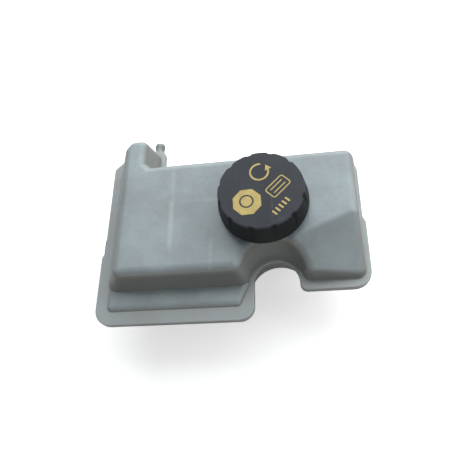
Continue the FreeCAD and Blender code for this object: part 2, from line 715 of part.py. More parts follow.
SIDES = (("left", "-"), ("right", "+"))
DEPTHS = (("front", "-"), ("back", "+"))
guides = [item for side, across in SIDES for depth, along in DEPTHS
          for item in guide(f"guide_{side}_{depth}", across, along)]
lower_solid = joined(
    "lower_solid", lower_hollow, *guides,
    bar("sensor_tube", "x", ("sensorMouth", *SENSOR), "sensorBore + wall - 0.4", "sensorLength + 3"),
    block("sensor_web", ("flangeLeft + 8", "floatFromFront - ribThk / 2", "-lowerDepth + wall / 2"),
          ("sensorMouth + sensorLength", "floatFromFront + ribThk / 2", "-sensorDepth")),
)
lower_shell = cut("lower_shell", lower_solid,
                  bar("sensor_hole", "x", ("sensorMouth - 5", *SENSOR), "sensorBore", "sensorLength + 5"))
seat(lower_shell, "lower_shell")

# Screw cap
CAP_FOOT = "neckTop + gasketThk + insertFlange + fit + capPlate - capHeight"
CAP_TOP = "neckTop + gasketThk + insertFlange + fit + capPlate"
cap = new_body("filler_cap", *NECK)
cap.Placement = FreeCAD.Placement(cap.Placement.Base,
                                  FreeCAD.Rotation(FreeCAD.Vector(0, 0, 1), VALUE["gripPhase"]))
cap.setExpression("Placement.Rotation.Angle", tied("gripPhase"))
cap_side = outline(cap, "cap_side", "XZ_Plane", [
    ("0", CAP_TOP),
    ("capTopRadius", CAP_TOP),
    ("capSkirtRadius", f"{CAP_FOOT} + 2"),
    ("capSkirtRadius", CAP_FOOT),
    ("capBore", CAP_FOOT),
    ("capBore", "neckTop + 0.6"),
    ("capBore - 0.7", "neckTop + 0.9"),
    ("capBore - 0.7", "neckTop + 1.3"),
    ("capBore", "neckTop + 1.6"),
    ("capBore", f"{CAP_TOP} - capPlate"),
    ("0", f"{CAP_TOP} - capPlate"),
])
turned(cap, "Revolution", "cap_turned", cap_side)
rounded(cap, "cap_edge", "capEdge", lambda edge: is_level(edge, number(CAP_TOP)))
groove_circle = rings(cap, "groove_circle", "XY_Plane", [("gripOffset", "0", "gripRadius")], CAP_TOP)
groove = feature(cap, "Pocket", "groove", groove_circle, "gripLength", False, "-gripTaper")
repeated(cap, "grooves", [groove], "gripCount")
seat(cap, "filler_cap")


def turned_piece(label, profile, centre=NECK):
    """A piece turned about an upright axis, from its half section (radius, height)."""
    body = new_body(label, *centre)
    side = outline(body, f"{label}_side", "XZ_Plane", profile)
    turned(body, "Revolution", f"{label}_turned", side)
    return body


SEAL = "neckTop + gasketThk"
PLUG = "neckTop + gasketThk - insertDrop"
insert = turned_piece("cap_insert", [
    ("2", PLUG),
    ("insertRadius", PLUG),
    ("insertRadius", SEAL),
    ("gasketRadius - 6.2", SEAL),
    ("gasketRadius - 6.2", f"{SEAL} - 1.2"),
    ("gasketRadius - 4.9", f"{SEAL} - 1.2"),
    ("gasketRadius - 4.9", SEAL),
    ("insertRim", SEAL),
    ("insertRim", f"{SEAL} + insertFlange"),
    ("insertRadius - insertWall", f"{SEAL} + insertFlange"),
    ("insertRadius - insertWall", f"{PLUG} + insertWall"),
    ("2", f"{PLUG} + insertWall"),
])
seat(insert, "cap_insert")
gasket = turned_piece("cap_gasket", [
    ("gasketRadius - 4.8", "neckTop"),
    ("gasketRadius - 0.4", "neckTop"),
    ("gasketRadius", "neckTop + 0.4"),
    ("gasketRadius", f"{SEAL} - 0.4"),
    ("gasketRadius - 0.4", SEAL),
    ("gasketRadius - 4.8", SEAL),
])
seat(gasket, "cap_gasket")
DISC = f"{PLUG} + insertWall"
diaphragm = turned_piece("vent_diaphragm", [
    ("0", DISC),
    ("insertRadius - insertWall - fit", DISC),
    ("insertRadius - insertWall - fit", f"{DISC} + diaphragmThk"),
    ("4", f"{DISC} + diaphragmThk"),
    ("3", f"{DISC} + diaphragmThk + 0.8"),
    ("0", f"{DISC} + diaphragmThk + 0.8"),
])
seat(diaphragm, "vent_diaphragm")

# Strainer
RIM = "strainerSeat + strainerRimThk"
BASKET = f"{RIM} - strainerDrop"
frame = turned_piece("strainer_frame", [
    ("0", BASKET),
    ("strainerRadius - 1", BASKET),
    ("strainerRadius", f"{BASKET} + 1"),
    ("strainerRadius", "strainerSeat"),
    ("strainerRim", "strainerSeat"),
    ("strainerRim", RIM),
    ("strainerRadius - strainerWall", RIM),
    ("strainerRadius - strainerWall", f"{BASKET} + strainerWall"),
    ("0", f"{BASKET} + strainerWall"),
])
WINDOW = "strainerRadius * sin(180deg / strainerBars - 6deg)"
HALF = "(strainerDrop - strainerRimThk - strainerWall - 4.5) / 2"
windows = outlines(frame, "strainer_windows", "XZ_Plane", [
    box_corners((f"-{WINDOW}", f"{BASKET} + strainerWall + 1.5"),
                (WINDOW, f"{BASKET} + strainerWall + 1.5 + {HALF}")),
    box_corners((f"-{WINDOW}", f"{BASKET} + strainerWall + 3 + {HALF}"),
                (WINDOW, f"{BASKET} + strainerWall + 3 + 2 * {HALF}")),
])
opening = feature(frame, "Pocket", "strainer_opening", windows, "strainerRadius + 2")
repeated(frame, "strainer_openings", [opening], "strainerBars")
seat(frame, "strainer_frame")

MESH = f"{BASKET} + strainerWall"
mesh = turned_piece("strainer_mesh", [
    ("strainerRadius - strainerWall - 0.1 - meshThk", MESH),
    ("strainerRadius - strainerWall - 0.1", MESH),
    ("strainerRadius - strainerWall - 0.1", "strainerSeat - 0.4"),
    ("strainerRadius - strainerWall - 0.1 - meshThk", "strainerSeat - 0.4"),
])
GAP = "strainerRadius * sin(180deg / meshColumns - 1.5deg) * 0.86"
gaps = outlines(mesh, "mesh_gaps", "XZ_Plane", [
    box_corners((f"-{GAP}", f"{MESH} + 1 + {row} * meshPitch"),
                (GAP, f"{MESH} + 1 + {row} * meshPitch + meshGap"))
    for row in range(6)
])
column = feature(mesh, "Pocket", "mesh_column", gaps, "strainerRadius + 2")
repeated(mesh, "mesh_columns", [column], "meshColumns")
seat(mesh, "strainer_mesh")

# Level float and its magnet
float_body = new_body("float_block", "floatFromLeft", "floatFromFront")
float_plan = outline(float_body, "float_plan", "XY_Plane", box_corners(
    ("-floatLength / 2", "-floatWidth / 2"), ("floatLength / 2", "floatWidth / 2")), "floatRest")
feature(float_body, "Pad", "float_pad", float_plan, "floatThk")
rounded(float_body, "float_corners", "3", is_steep)
rounded(float_body, "float_edge", "1", lambda edge: is_level(edge, number("floatRest + floatThk")))
MAGNET = ("floatFromFront", "floatRest + magnetRadius + fit")
level_float = cut(
    "level_float", float_body,
    bar("magnet_pocket", "x", ("floatFromLeft - magnetLength / 2 - 0.05", *MAGNET),
        "magnetRadius + 0.05", "magnetLength + 0.1"),
    block("magnet_slot", ("floatFromLeft - magnetLength / 2 - 0.05", "floatFromFront - magnetRadius * 0.8",
                          "floatRest - 2"),
          ("floatFromLeft + magnetLength / 2 + 0.05", "floatFromFront + magnetRadius * 0.8",
           "floatRest + magnetRadius + fit")),
)
seat(level_float, "level_float")
magnet = bar("float_magnet", "x", ("floatFromLeft - magnetLength / 2", *MAGNET),
             "magnetRadius", "magnetLength")
seat(magnet, "float_magnet")

# Level sensor: two reeds in a glass capsule, moulded into a stem with a connector
REED_Z = "-sensorDepth"


def reed(name, side):
    """One of the two reeds: the near one starts outside the glass, the far one ends outside it."""
    start = "floatFromLeft - reedLap" if side == "-" else "floatFromLeft - reedLength / 2 - reedTail"
    return bar(name, "x", (start, "floatFromFront", f"{REED_Z} {side} reedStep"), "reedWire",
               "reedLength / 2 + reedTail + reedLap")


near_form = reed("near_reed_form", "+")
far_form = reed("far_reed_form", "-")
capsule = cut(
    "reed_capsule", bar("capsule_glass", "x", ("floatFromLeft - reedLength / 2", *SENSOR),
                        "reedRadius", "reedLength"),
    bar("capsule_space", "x", ("floatFromLeft - reedLength / 2 + 1.2", *SENSOR),
        "reedRadius - 0.35", "reedLength - 2.4"),
    near_form, far_form,
)


def terminal(name, side, reed, end):
    """A connector blade with a leg that reaches back to its reed."""
    def between(start, finish):
        places = (f"floatFromFront {side} {start}", f"floatFromFront {side} {finish}")
        return sorted(places, key=number)
    blade = between("(bladePitch / 2 - bladeWidth / 2)", "(bladePitch / 2 + bladeWidth / 2)")
    leg = between("legNear", "legFar")
    arm = between("0", "legFar")
    low, high_end = f"{REED_Z} - bladeThk / 2", f"{REED_Z} + bladeThk / 2"
    shape = joined(
        f"{name}_form",
        block(f"{name}_blade", ("sensorMouth - sensorFlangeThk - plugLength + 1.3", blade[0], low),
              ("sensorMouth - 1", blade[1], high_end)),
        block(f"{name}_leg", ("sensorMouth - 2", leg[0], low), (end, leg[1], high_end)),
        block(f"{name}_arm", (f"{end} - 1.2", arm[0], low), (end, arm[1], high_end)),
    )
    return cut(name, shape, reed)


LEFT_END = "floatFromLeft - reedLength / 2 - reedTail + 1.4"
RIGHT_END = "floatFromLeft + reedLength / 2 + reedTail - 0.2"

STEM = ("sensorMouth - sensorFlangeThk", *SENSOR)
seal_ring = cut(
    "seal_groove",
    bar("groove_out", "x", ("sensorMouth + sealFromMouth - sealMinor - 0.1", *SENSOR),
        "sensorRadius + 1", "2 * sealMinor + 0.2"),
    bar("groove_in", "x", ("sensorMouth + sealFromMouth - sealMinor - 1", *SENSOR),
        "sealMajor - sealMinor", "2 * sealMinor + 2"),
)
housing_form = joined(
    "housing_form",
    bar("stem", "x", STEM, "sensorRadius", "sensorFlangeThk + sensorStem"),
    bar("stem_flange", "x", STEM, "sensorFlange", "sensorFlangeThk"),
    block("plug_shell", ("sensorMouth - sensorFlangeThk - plugLength", "floatFromFront - plugWidth / 2",
                         f"{REED_Z} - plugHeight / 2"),
          ("sensorMouth - 1", "floatFromFront + plugWidth / 2", f"{REED_Z} + plugHeight / 2")),
    block("plug_latch", ("sensorMouth - sensorFlangeThk - plugLength + 2", "floatFromFront - 2",
                         f"{REED_Z} + plugHeight / 2 - 0.5"),
          ("sensorMouth - sensorFlangeThk - plugLength + 4.5", "floatFromFront + 2",
           f"{REED_Z} + plugHeight / 2 + 1")),
)
housing = cut(
    "sensor_housing", housing_form, seal_ring,
    block("plug_socket", ("sensorMouth - sensorFlangeThk - plugLength - 1",
                          "floatFromFront - plugWidth / 2 + plugWall",
                          f"{REED_Z} - plugHeight / 2 + plugWall"),
          ("sensorMouth - sensorFlangeThk - 1.2", "floatFromFront + plugWidth / 2 - plugWall",
           f"{REED_Z} + plugHeight / 2 - plugWall")),
    bar("capsule_pocket", "x", ("floatFromLeft - reedLength / 2", *SENSOR), "reedRadius", "reedLength"),
    near_form, far_form,
    terminal("left_terminal_form", "-", near_form, LEFT_END),
    terminal("right_terminal_form", "+", far_form, RIGHT_END),
)
seal = doc.addObject("Part::Torus", "sensor_seal")
seal.Placement = FreeCAD.Placement(FreeCAD.Vector(), TURNED["x"])
seal.setExpression("Radius1", tied("sealMajor"))
seal.setExpression("Radius2", tied("sealMinor"))
for axis, place in zip("xyz", ("sensorMouth + sealFromMouth", *SENSOR)):
    seal.setExpression(f"Placement.Base.{axis}", tied(place))
doc.recompute()

seat(housing, "sensor_housing")
seat(seal, "sensor_seal")
seat(capsule, "reed_capsule")
seat(reed("near_reed", "+"), "near_reed")
seat(reed("far_reed", "-"), "far_reed")
seat(terminal("left_terminal", "-", near_form, LEFT_END), "left_terminal")
seat(terminal("right_terminal", "+", far_form, RIGHT_END), "right_terminal")

# Grommets of the two outlets
for port, across in PORTS:
    grommet = turned_piece(f"{port}_grommet", [
        ("spigotRadius + 0.05", f"{SEATING} + grommetFlangeThk"),
        ("grommetFlange", f"{SEATING} + grommetFlangeThk"),
        ("grommetFlange", SEATING),
        ("grommetRadius", SEATING),
        ("grommetRadius", f"{SEATING} - grommetReach + 0.8"),
        ("grommetRadius - 0.8", f"{SEATING} - grommetReach"),
        ("spigotRadius + 0.05", f"{SEATING} - grommetReach"),
    ], (across, "portFromFront"))
    seat(grommet, f"{port}_grommet")

doc.recompute()
faults = [item.Name for item in doc.Objects if {"Invalid", "Error"} & set(item.State)]
for item in SEATED:
    if item.Shape.isNull() or not item.Shape.isValid() or len(item.Shape.Solids) != 1:
        faults.append(item.Label)
if faults:
    raise RuntimeError("not sound: " + ", ".join(faults))

os.makedirs("parts", exist_ok=True)
for item in SEATED:
    item.Shape.exportStep(os.path.join("parts", f"{item.Label}.step"))
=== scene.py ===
import math
import bmesh
import bpy
from mathutils import Matrix, Vector


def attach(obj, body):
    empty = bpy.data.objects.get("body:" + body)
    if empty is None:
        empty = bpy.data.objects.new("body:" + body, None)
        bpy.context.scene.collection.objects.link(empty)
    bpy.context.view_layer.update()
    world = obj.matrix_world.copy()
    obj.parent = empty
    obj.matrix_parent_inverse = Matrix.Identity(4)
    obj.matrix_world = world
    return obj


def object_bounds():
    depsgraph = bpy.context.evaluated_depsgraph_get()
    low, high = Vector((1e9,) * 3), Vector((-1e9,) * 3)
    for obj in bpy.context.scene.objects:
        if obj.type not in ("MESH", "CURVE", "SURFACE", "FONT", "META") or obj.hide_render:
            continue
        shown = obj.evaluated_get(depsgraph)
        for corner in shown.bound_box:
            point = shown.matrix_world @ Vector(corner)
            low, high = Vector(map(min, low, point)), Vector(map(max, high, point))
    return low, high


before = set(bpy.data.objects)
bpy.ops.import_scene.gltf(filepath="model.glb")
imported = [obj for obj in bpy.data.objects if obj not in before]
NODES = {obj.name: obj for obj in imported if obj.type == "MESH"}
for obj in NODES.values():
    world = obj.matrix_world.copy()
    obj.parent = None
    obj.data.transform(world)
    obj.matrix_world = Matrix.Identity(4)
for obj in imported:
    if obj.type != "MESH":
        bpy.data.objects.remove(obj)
CAD_LOW, CAD_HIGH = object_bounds()

# Lengths are in millimetres unless a comment says metres, and MM turns them into metres
MM = 0.001

# The photograph's own camera: focal length and side in pixels, sensor width in millimetres
PHOTO_FOCAL = 490.47
PHOTO_SIDE = 470
SENSOR_WIDTH = 36.0

# The filler neck's middle, and the height of the cap's top face
NECK = Vector((38.8, 0.0, 0.0))
CAP_TOP = 92.0

# Heights over which a plastic changes colour, each from its lower to its upper end
# The cap's band is where the painted shade down its sides begins
CAP_SHADE_BAND = (CAP_TOP - 1.6, CAP_TOP - 0.5)
TANK_TOP_BAND = (67.5, 69.5)
FLANGE_TOP_BAND = (44.8, 45.6)
FLANGE_FOOT_BAND = (38.6, 39.2)

# The print on the cap: places are measured across and along from the cap's middle, turns in degrees
PRINT_HEIGHT = 0.03
PLATE_RIM = 0.3
CORNER_STEPS = 5
ROUND_SIDES = 48
OCTAGON_PLACE = (-8.54, -8.43)
OCTAGON_TURN = 25.7
OCTAGON_RING_PLACE = (-8.85, -8.0)
ARROW_PLACE = (-0.6, 12.6)
ARROW_TIP_STEP = (5.2, 2.7)
ARROW_TIP_TURN = 27.0
ARROW_GAP = (14.0, 80.0)
PAGE_PLACE = (11.0, 1.15)
PAGE_TURN = 45.2
PAGE_LINE_STEPS = (-1.5, 1.5)
BARS_PLACE = (12.5, -12.95)
BARS_TURN = 47.3
BAR_COUNT = 5
BAR_STEP = 2.95

# The screw threads of neck and cap; the angle is in degrees
THREAD_PITCH = 6.0
THREAD_START = 77.4
FOOT_WIDTH = 2.2
CREST_WIDTH = 1.2
STEPS_PER_TURN = 64
SMOOTH_ANGLE = 35
# A point this near the crest's radius belongs to the crest
CREST_REACH = 0.05

# The studio, in metres and watts
FLOOR_SIDE = 2.6
FLOOR_GAP = 0.0005
TANK_MIDDLE = (0.02, 0.0, 0.05)
COOL = (0.96, 0.99, 1.0)
SLIGHTLY_COOL = (0.97, 0.99, 1.0)
WARM = (1.0, 0.99, 0.97)
PLAIN = (1.0, 1.0, 1.0)


def screen(red, green, blue):
    """A colour as it looks on a screen, 0 to 255, turned into the shader's own numbers."""
    def one(value):
        share = value / 255
        return share / 12.92 if share <= 0.04045 else ((share + 0.055) / 1.055) ** 2.4
    return (one(red), one(green), one(blue), 1.0)


def camera_at_the_photo():
    """The photograph's own viewpoint, worked out from the flange, the top plane and the cap."""
    data = bpy.data.cameras.new("photo_camera")
    camera = bpy.data.objects.new("photo_camera", data)
    bpy.context.collection.objects.link(camera)
    data.sensor_width = SENSOR_WIDTH
    data.lens = PHOTO_FOCAL / PHOTO_SIDE * SENSOR_WIDTH
    data.clip_start = 0.01
    data.clip_end = 10.0
    right = Vector((0.98585777, 0.00410008, -0.167534))
    down = Vector((-0.067213, -0.90609942, -0.41769157))
    ahead = Vector((-0.15351503, 0.42304494, -0.89300958))
    place = Vector((68.218, -155.323, 355.582)) * MM
    turn = Matrix((right, -down, -ahead)).transposed().to_4x4()
    camera.matrix_world = Matrix.Translation(place) @ turn
    bpy.context.scene.camera = camera


# Nodes that every material and effect is put together from
def math_node(tree, operation, first, second=None, clamp=False):
    node = tree.nodes.new("ShaderNodeMath")
    node.operation = operation
    node.use_clamp = clamp
    for index, value in enumerate((first, second)):
        if value is None:
            continue
        if isinstance(value, (int, float)):
            node.inputs[index].default_value = value
        else:
            tree.links.new(value, node.inputs[index])
    return node.outputs[0]


def times(tree, first, *others):
    """All the values multiplied together."""
    for other in others:
        first = math_node(tree, "MULTIPLY", first, other)
    return first


def highest(tree, first, *others):
    """The highest of the values."""
    for other in others:
        first = math_node(tree, "MAXIMUM", first, other)
    return first


def noise(tree, place, scale, detail=3.0, roughness=0.55):
    node = tree.nodes.new("ShaderNodeTexNoise")
    if isinstance(scale, (int, float)):
        node.inputs["Scale"].default_value = scale
    else:
        tree.links.new(scale, node.inputs["Scale"])
    node.inputs["Detail"].default_value = detail
    node.inputs["Roughness"].default_value = roughness
    tree.links.new(place, node.inputs["Vector"])
    return node.outputs["Fac"]


def spread(tree, value, low, high, to_low=0.0, to_high=1.0):
    """A value between low and high, spread from to_low to to_high and held there past its ends."""
    node = tree.nodes.new("ShaderNodeMapRange")
    tree.links.new(value, node.inputs["Value"])
    ends = (("From Min", low), ("From Max", high), ("To Min", to_low), ("To Max", to_high))
    for name, number in ends:
        node.inputs[name].default_value = number
    return node.outputs["Result"]


def fades_in(tree, value, band):
    """0 below a band in millimetres and 1 above it."""
    low, high = band
    return spread(tree, value, low * MM, high * MM)


def fades_out(tree, value, band):
    """1 below a band in millimetres and 0 above it."""
    low, high = band
    return spread(tree, value, low * MM, high * MM, 1.0, 0.0)


def blend_colours(tree, share, first, second):
    node = tree.nodes.new("ShaderNodeMix")
    node.data_type = "RGBA"
    factor, colour_a, colour_b = node.inputs[0], node.inputs[6], node.inputs[7]
    for socket, value in ((factor, share), (colour_a, first), (colour_b, second)):
        if isinstance(value, (int, float, tuple)):
            socket.default_value = value
        else:
            tree.links.new(value, socket)
    return node.outputs[2]


def axes_of(tree, vector):
    """The x, y and z of a place or a normal."""
    node = tree.nodes.new("ShaderNodeSeparateXYZ")
    tree.links.new(vector, node.inputs[0])
    return node.outputs


# Shared effects, each a node group with named inputs and outputs
def new_group(name, inputs, outputs):
    group = bpy.data.node_groups.new(name, "ShaderNodeTree")
    for label, kind, start in inputs:
        socket = group.interface.new_socket(
            name=label, in_out="INPUT", socket_type=f"NodeSocket{kind}")
        if start is not None:
            socket.default_value = start
    for label, kind in outputs:
        group.interface.new_socket(
            name=label, in_out="OUTPUT", socket_type=f"NodeSocket{kind}")
    enter = group.nodes.new("NodeGroupInput")
    leave = group.nodes.new("NodeGroupOutput")
    return group, enter, leave


def clouded_colour():
    """Slow drifts between two colours, with a finer mottle over them."""
    group, enter, leave = new_group(
        "clouded_colour",
        [("Place", "Vector", None), ("Light", "Color", None), ("Dark", "Color", None),
         ("Scale", "Float", 30.0)],
        [("Colour", "Color")])
    slow = noise(group, enter.outputs["Place"], enter.outputs["Scale"], 2.0)
    fine_scale = times(group, enter.outputs["Scale"], 9.0)
    fine = noise(group, enter.outputs["Place"], fine_scale, 3.0)
    share = math_node(group, "ADD", times(group, slow, 0.75), times(group, fine, 0.25))
    share = spread(group, share, 0.35, 0.65)
    colour = blend_colours(group, share, enter.outputs["Dark"], enter.outputs["Light"])
    group.links.new(colour, leave.inputs["Colour"])
    return group


def moulded_grain():
    """The fine skin that a steel mould leaves: a close grain with a slow waviness under it."""
    group, enter, leave = new_group(
        "moulded_grain",
        [("Place", "Vector", None), ("Grain", "Float", 2500.0), ("Wave", "Float", 60.0),
         ("Wave Share", "Float", 0.7)],
        [("Height", "Float")])
    close = noise(group, enter.outputs["Place"], enter.outputs["Grain"], 2.0)
    slow = noise(group, enter.outputs["Place"], enter.outputs["Wave"], 2.0)
    mixed = math_node(group, "ADD", times(group, slow, enter.outputs["Wave Share"]), close)
    group.links.new(mixed, leave.inputs["Height"])
    return group


def handling_marks():
    """Thin scuffs in two directions and patches of dust: 1 where the surface is marked."""
    group, enter, leave = new_group(
        "handling_marks",
        [("Place", "Vector", None), ("Amount", "Float", 0.5)],
        [("Scuffs", "Float"), ("Dust", "Float")])
    lines = []
    for turn, stretch in ((0.5, (900.0, 18.0, 60.0)), (-0.9, (24.0, 1100.0, 60.0))):
        mapping = group.nodes.new("ShaderNodeMapping")
        mapping.inputs["Rotation"].default_value = (0.0, 0.0, turn)
        mapping.inputs["Scale"].default_value = stretch
        group.links.new(enter.outputs["Place"], mapping.inputs["Vector"])
        streaks = noise(group, mapping.outputs["Vector"], 1.0, 1.0)
        lines.append(spread(group, streaks, 0.70, 0.76))
    patches = spread(group, noise(group, enter.outputs["Place"], 45.0, 3.0), 0.5, 0.68)
    scuffs = times(group, highest(group, *lines), patches, enter.outputs["Amount"])
    group.links.new(scuffs, leave.inputs["Scuffs"])
    dust = spread(group, noise(group, enter.outputs["Place"], 160.0, 6.0, 0.7), 0.5, 0.75)
    dust = times(group, dust, patches, enter.outputs["Amount"])
    group.links.new(dust, leave.inputs["Dust"])
    return group


CLOUDED = clouded_colour()
GRAIN = moulded_grain()
MARKS = handling_marks()


# The part's finishes
def new_material(name, **values):
    """A material with its shader, and the place on the object that its patterns read."""
    material = bpy.data.materials.new(name)
    material.use_nodes = True
    tree = material.node_tree
    shader = tree.nodes["Principled BSDF"]
    for socket, value in values.items():
        shader.inputs[socket.replace("_", " ")].default_value = value
    place = tree.nodes.new("ShaderNodeTexCoord").outputs["Object"]
    return material, tree, shader, place


def opened(material):
    """The tree, the shader and the place of a material that is built on further."""
    tree = material.node_tree
    place = next(node for node in tree.nodes if node.type == "TEX_COORD").outputs["Object"]
    return tree, tree.nodes["Principled BSDF"], place


def use_group(tree, group, **values):
    node = tree.nodes.new("ShaderNodeGroup")
    node.node_tree = group
    for socket, value in values.items():
        target = node.inputs[socket.replace("_", " ")]
        if isinstance(value, (int, float, tuple)):
            target.default_value = value
        else:
            tree.links.new(value, target)
    return node


def raise_surface(tree, shader, height, strength, distance):
    bump = tree.nodes.new("ShaderNodeBump")
    bump.inputs["Strength"].default_value = strength
    bump.inputs["Distance"].default_value = distance
    tree.links.new(height, bump.inputs["Height"])
    tree.links.new(bump.outputs["Normal"], shader.inputs["Normal"])


def lay_over(tree, shader, share, colour):
    """Lays a colour over the shader's own, as far as the share says."""
    under = shader.inputs["Base Color"].links[0].from_socket
    tree.links.new(blend_colours(tree, share, under, colour), shader.inputs["Base Color"])


def plain_plastic(name, light, dark, roughness, grain=2500.0, depth=0.00003, marks=0.3,
                  scale=40.0, **values):
    """A moulded or rubbery finish: drifting colour, grain, grey scuffs, and dust that dulls it."""
    material, tree, shader, place = new_material(name, **values)
    colour = use_group(tree, CLOUDED, Place=place, Light=light, Dark=dark, Scale=scale)
    tree.links.new(colour.outputs["Colour"], shader.inputs["Base Color"])
    wear = use_group(tree, MARKS, Place=place, Amount=marks)
    lay_over(tree, shader, times(tree, wear.outputs["Scuffs"], 0.5), (0.4, 0.4, 0.4, 1.0))
    duller = times(tree, wear.outputs["Dust"], 0.25)
    rough = math_node(tree, "ADD", duller, roughness, clamp=True)
    tree.links.new(rough, shader.inputs["Roughness"])
    skin = use_group(tree, GRAIN, Place=place, Grain=grain, Wave=60.0, Wave_Share=0.6)
    raise_surface(tree, shader, skin.outputs["Height"], 0.5, depth)
    return material


def milky_plastic(name, light, dark, roughness, **values):
    """The shells' plastic: walls that face sideways are darkened and warmed as painted shade, paler
    where the flanges lie double.
    """
    material = plain_plastic(name, light, dark, roughness, **values)
    tree, shader, place = opened(material)
    normal = tree.nodes.new("ShaderNodeNewGeometry").outputs["Normal"]
    facing_up = axes_of(tree, normal)[2]
    # Painted shade: the further a face turns from facing up, the more it is darkened and warmed
    # towards a dark grey
    lay_over(tree, shader, spread(tree, facing_up, 0.55, 0.95, 0.85, 0.0), screen(116, 117, 113))
    height = axes_of(tree, place)[2]
    below_its_top = fades_out(tree, height, FLANGE_TOP_BAND)
    above_its_foot = fades_in(tree, height, FLANGE_FOOT_BAND)
    flange = times(tree, below_its_top, above_its_foot, 0.45)
    lay_over(tree, shader, flange, screen(172, 174, 172))
    return material


def milky_with_ribs(name, light, dark, roughness, **values):
    """The upper shell's plastic: the ribs inside show through its top as soft pale lines."""
    material = milky_plastic(name, light, dark, roughness, **values)
    tree, shader, place = opened(material)
    across, along, up = axes_of(tree, place)

    def line(value, middle, core, fade):
        """1 within core of the line's middle, fading to 0 at fade from it."""
        off = math_node(tree, "ABSOLUTE", math_node(tree, "SUBTRACT", value, middle * MM))
        return fades_out(tree, off, (core, fade))

    def between(value, low, high, soft):
        """1 from low to high, with both ends softened."""
        rise = fades_in(tree, value, (low - soft, low + soft))
        fall = fades_out(tree, value, (high - soft, high + soft))
        return times(tree, rise, fall)

    cross = times(tree, line(across, -25.0, 0.4, 2.6), between(along, -26.0, 36.0, 4.0))
    short = times(tree, line(across, 3.0, 0.3, 1.8), between(along, -44.0, -24.0, 3.0))
    long = times(tree, line(along, 8.0, 0.2, 1.6), between(across, -25.0, 12.0, 3.0))
    ribs = highest(tree, cross, short, times(tree, long, 0.5))
    broken = spread(tree, noise(tree, place, 55.0, 2.0), 0.38, 0.62, 0.25, 1.0)
    top = fades_in(tree, up, TANK_TOP_BAND)
    ribs = times(tree, ribs, broken, times(tree, top, 0.45))
    lay_over(tree, shader, ribs, screen(186, 192, 190))
    return material


def cap_plastic(name, light, dark, roughness):
    """Black plastic, paler on the top face and darkened nearly to black down the sides as painted
    shade.
    """
    material = plain_plastic(name, light, dark, roughness, grain=2200.0, marks=0.5,
                             Specular_IOR_Level=0.15)
    tree, shader, place = opened(material)
    # Painted shade: below the top face's edge the sides are darkened nearly to black
    side = fades_out(tree, axes_of(tree, place)[2], CAP_SHADE_BAND)
    lay_over(tree, shader, times(tree, side, 0.95), screen(6, 7, 8))
    return material


MILKY = dict(marks=0.4, Specular_IOR_Level=0.32, IOR=1.5, Coat_Weight=0.12, Coat_Roughness=0.13,
             Subsurface_Weight=0.3, Subsurface_Scale=0.006, Subsurface_Radius=(1.0, 1.0, 1.0))

camera_at_the_photo()

milky_top = milky_with_ribs(
    "milky_plastic_top", screen(149, 162, 166), screen(136, 144, 147), roughness=0.34, **MILKY)
milky = milky_plastic(
    "milky_plastic_low", screen(150, 158, 160), screen(137, 144, 146), roughness=0.34, **MILKY)
cap_black = cap_plastic(
    "cap_black", screen(58, 62, 67), screen(49, 52, 57), roughness=0.48)
natural_white = plain_plastic(
    "natural_white", screen(214, 212, 202), screen(200, 199, 190), roughness=0.4)
woven_white = plain_plastic(
    "woven_white", screen(226, 224, 214), screen(206, 205, 196), roughness=0.6, grain=1500.0)
black_rubber = plain_plastic(
    "black_rubber", screen(44, 44, 45), screen(34, 34, 35), roughness=0.6, grain=1800.0)
black_foam = plain_plastic(
    "black_foam", screen(58, 58, 58), screen(40, 40, 40), roughness=0.85, grain=900.0, depth=0.0001)
sensor_black = plain_plastic(
    "sensor_black", screen(46, 47, 49), screen(36, 37, 39), roughness=0.38, grain=3000.0)
magnet_grey = plain_plastic(
    "magnet_grey", screen(92, 92, 95), screen(74, 74, 78), roughness=0.45, Metallic=0.8)
reed_metal = plain_plastic(
    "reed_metal", screen(196, 196, 198), screen(176, 176, 178), roughness=0.3, Metallic=1.0)
contact_metal = plain_plastic(
    "contact_metal", screen(206, 182, 120), screen(188, 160, 100), roughness=0.3, Metallic=1.0)
capsule_glass = plain_plastic(
    "capsule_glass", screen(214, 232, 222), screen(200, 222, 210), roughness=0.05,
    Transmission_Weight=1.0, IOR=1.5)
gold_print = plain_plastic(
    "gold_print", screen(188, 166, 92), screen(166, 146, 76), roughness=0.42,
    grain=3500.0, marks=0.5, scale=120.0)

# Each finish, with the CAD nodes that have it
FINISHES = (
    (milky_top, ("upper_shell",)),
    (milky, ("lower_shell",)),
    (cap_black, ("filler_cap",)),
    (natural_white, ("cap_insert", "strainer_frame")),
    (woven_white, ("strainer_mesh",)),
    (black_rubber, ("cap_gasket", "vent_diaphragm", "sensor_seal", "primary_grommet",
                    "secondary_grommet")),
    (black_foam, ("level_float",)),
    (magnet_grey, ("float_magnet",)),
    (sensor_black, ("sensor_housing",)),
    (capsule_glass, ("reed_capsule",)),
    (reed_metal, ("near_reed", "far_reed")),
    (contact_metal, ("left_terminal", "right_terminal")),
)
for finish, names in FINISHES:
    for name in names:
        NODES[name].data.materials.clear()
        NODES[name].data.materials.append(finish)


# New pieces: gold print on the cap's top, and the screw threads
def begin_piece(piece, name):
    """Names a new primitive and opens it for editing with all of it selected."""
    piece.name = name
    piece.data.name = name
    bpy.ops.object.mode_set(mode="EDIT")
    bpy.ops.mesh.select_all(action="SELECT")


def finish_piece(piece, material, body):
    """Applies the piece's place, dresses it and lets it ride on its body."""
    bpy.ops.object.select_all(action="DESELECT")
    piece.select_set(True)
    bpy.context.view_layer.objects.active = piece
    bpy.ops.object.transform_apply(location=True, rotation=True, scale=True)
    piece.data.materials.clear()
    piece.data.materials.append(material)
    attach(piece, body)


def on_the_cap(across, along, up=0.0):
    return ((NECK.x + across) * MM, (NECK.y + along) * MM, (CAP_TOP + up) * MM)


